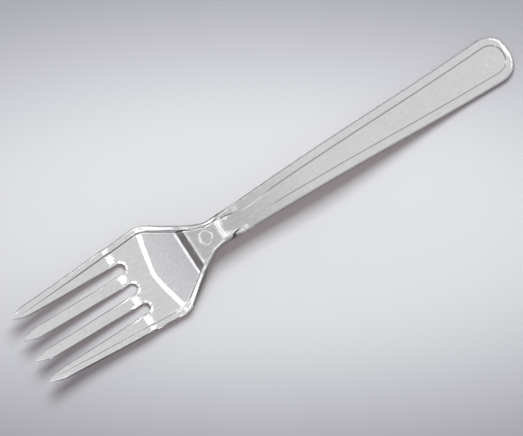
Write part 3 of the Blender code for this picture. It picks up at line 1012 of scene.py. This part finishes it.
paper_material = bpy.data.materials.new("paper_matt")
paper_material.use_nodes = True
tree = paper_material.node_tree
tree.nodes.clear()
place = add_node(tree, "ShaderNodeTexCoord").outputs["Object"]
oval = add_node(tree, "ShaderNodeMapping", {"Vector": place},
                {"Location": OVAL_CENTRE * MM, "Rotation": (0.0, 0.0, -HEADING),
                 "Scale": (OVAL_STRETCH, 1.0, 1.0)}, vector_type="TEXTURE")
outward = add_node(tree, "ShaderNodeVectorMath", {0: oval.outputs["Vector"]}, operation="LENGTH")
last = len(PAPER_FALLOFF_GREYS) - 1
share = add_node(tree, "ShaderNodeMapRange", {"Value": outward.outputs["Value"]},
                 {"From Min": 0.0, "From Max": last * GREY_EVERY * MM})
greys = add_ramp(tree, share.outputs["Result"],
                 [(number / last, grey) for number, grey in enumerate(PAPER_FALLOFF_GREYS)], "B_SPLINE")
matt = add_node(tree, "ShaderNodeBsdfDiffuse", {"Color": greys.outputs["Color"]})
fall = add_node(tree, "ShaderNodeVectorMath", {0: place}, operation="MULTIPLY")
fall.inputs[1].default_value = BRIGHT_SHAPE
reach = add_node(tree, "ShaderNodeVectorMath", {0: fall.outputs["Vector"]}, operation="LENGTH")
# Rays through the plastic see a glow: even and pale near the fork, with painted dark further out.
bright = add_node(tree, "ShaderNodeMapRange", {"Value": reach.outputs["Value"]},
                  {"From Min": BRIGHT_TO * MM, "From Max": DARK_FROM * MM,
                   "To Min": 1.0, "To Max": DARK_LEVEL}, interpolation_type="SMOOTHSTEP")
lit = add_node(tree, "ShaderNodeEmission", {"Strength": bright.outputs["Result"]}, {"Color": GLOW_GREY})
rays = add_node(tree, "ShaderNodeLightPath")
sheet = add_node(tree, "ShaderNodeMixShader",
                 {0: rays.outputs["Is Transmission Ray"], 1: matt.outputs["BSDF"],
                  2: lit.outputs["Emission"]})
add_node(tree, "ShaderNodeOutputMaterial", {"Surface": sheet.outputs["Shader"]})
paper_mesh.materials.append(paper_material)
print("paper greys from", PAPER_FALLOFF_GREYS[0], "to", PAPER_FALLOFF_GREYS[-1], "in", last * GREY_EVERY, "mm")

# %% [markdown]
# ## The camera
#
# The photograph looks down on the fork from a little on this side, with a long lens, so
# the far end of the handle is hardly smaller than the near end.

# %% Camera
TARGET = Vector((-0.00546, -0.0032, 0.005))
ELEVATION = math.radians(81.57)
DISTANCE = 1.262
LENS = 300.0

camera_data = bpy.data.cameras.new("camera")
camera_data.lens = LENS
camera = bpy.data.objects.new("camera", camera_data)
camera.location = TARGET - AHEAD * DISTANCE * math.cos(ELEVATION)
camera.location.z += DISTANCE * math.sin(ELEVATION)
camera.rotation_euler = (camera.location - TARGET).to_track_quat("Z", "Y").to_euler()
bpy.context.scene.collection.objects.link(camera)
bpy.context.scene.camera = camera
print("camera at", [round(value, 3) for value in camera.location])

# %% [markdown]
# ## The studio light
#
# One wide soft lamp stands beyond the fork, lights the paper and throws the shadow towards
# the camera's side. The plastic doesn't mirror it. The other lamps are seen only in the
# plastic and do the drawing: a clear part shows a lamp as a white line wherever its surface
# tilts halfway between the lamp and the camera. So such a lamp is placed from the line that
# it has to draw. Its function takes a spot on the fork in mm, how the surface slopes there
# along and across, and the lamp's sides in metres. It works out where a mirror with that
# slope would show the camera a lamp. Radiance is the brightness such a mirror would show.

# %% Lamps
LAMP_DISTANCE = 0.3
LAMP_RADIANCE = 8.0
ROOT_DISTANCE = 0.8
KEY_PLACE = AHEAD * 0.34 + Vector((0.0, 0.0, 0.68))
KEY_SIDE = 0.36
KEY_RADIANCE = 13.4


def add_lamp(name, spot, ray, size, radiance):
    """Soft rectangular lamp that faces a spot; its first side lies along the fork."""
    data = bpy.data.lights.new(name, "AREA")
    data.shape = "RECTANGLE"
    data.size, data.size_y = size
    data.energy = radiance * math.pi * size[0] * size[1]
    lamp = bpy.data.objects.new(name, data)
    lamp.location = spot + ray
    back = ray.normalized()
    side = Vector((0.0, 1.0, 0.0)).cross(back).normalized()
    lamp.rotation_euler = Matrix((side, back.cross(side), back)).transposed().to_euler()
    lamp.visible_camera = False
    bpy.context.scene.collection.objects.link(lamp)
    return lamp


def add_mirrored_lamp(name, spot, slopes, size, distance=LAMP_DISTANCE):
    """Lamp that the plastic shows to the camera at a spot, in mm, where it slopes so."""
    place = Vector(((spot[0] - LENGTH / 2) * MM, spot[1] * MM, underside(spot[0]) * MM))
    to_camera = (camera.location - place).normalized()
    normal = Vector((-slopes[0], -slopes[1], 1.0)).normalized()
    ray = 2 * normal.dot(to_camera) * normal - to_camera
    lamp = add_lamp(name, place, ray * distance, size, LAMP_RADIANCE)
    lamp.visible_diffuse = False


print("mirrored lamps shine at", LAMP_RADIANCE, "and stand", LAMP_DISTANCE, "or", ROOT_DISTANCE, "m away")

# %% Lamps for the paper, the belly, the slots' roots, the rims and the shoulders
key = add_lamp("key_softbox", TARGET, KEY_PLACE, (KEY_SIDE, KEY_SIDE), KEY_RADIANCE)
key.visible_glossy = False
key.visible_transmission = False
add_mirrored_lamp("belly_strip", (42.2, 0.0), (0.103, 0.0), (0.0206, 0.22))
add_mirrored_lamp("root_strip", (34.0, 0.0), (-0.53, 0.0), (0.42, 1.1), ROOT_DISTANCE)
add_mirrored_lamp("far_strip", (16.0, 0.0), (0.0, -0.55), (0.055, 0.18))
add_mirrored_lamp("near_strip", (18.0, 0.0), (0.0, 0.55), (0.055, 0.15))
add_mirrored_lamp("step_strip", (50.0, 0.0), (0.5, 0.0), (0.19, 0.11))
add_mirrored_lamp("far_corner", (36.0, 0.0), (0.26, -0.45), (0.26, 0.26))
add_mirrored_lamp("near_corner", (36.0, 0.0), (0.31, 0.40), (0.26, 0.26))

# %% [markdown]
# ## The room
#
# Between the lamps the plastic mirrors the room itself. Its walls are mid grey and get
# darker towards the floor, so that low, steep faces stay dark. The view transform is plain
# Standard, which shows each grey as it is written.

# %% The room
ROOM_GREYS = [(0.0, "#202022"), (0.12, "#3A3A3C"), (0.45, "#8C8C8E"), (1.0, "#7A7A7C")]

world = bpy.data.worlds.new("studio_room")
bpy.context.scene.world = world
world.use_nodes = True
tree = world.node_tree
tree.nodes.clear()
direction = add_node(tree, "ShaderNodeTexCoord").outputs["Generated"]
parts = add_node(tree, "ShaderNodeSeparateXYZ", {0: direction})
room = add_ramp(tree, parts.outputs["Z"], ROOM_GREYS)
light = add_node(tree, "ShaderNodeBackground", {"Color": room.outputs["Color"]}, {"Strength": 1.0})
add_node(tree, "ShaderNodeOutputWorld", {"Surface": light.outputs["Background"]})
bpy.context.scene.view_settings.view_transform = "Standard"
print("room greys:", [grey for _, grey in ROOM_GREYS])
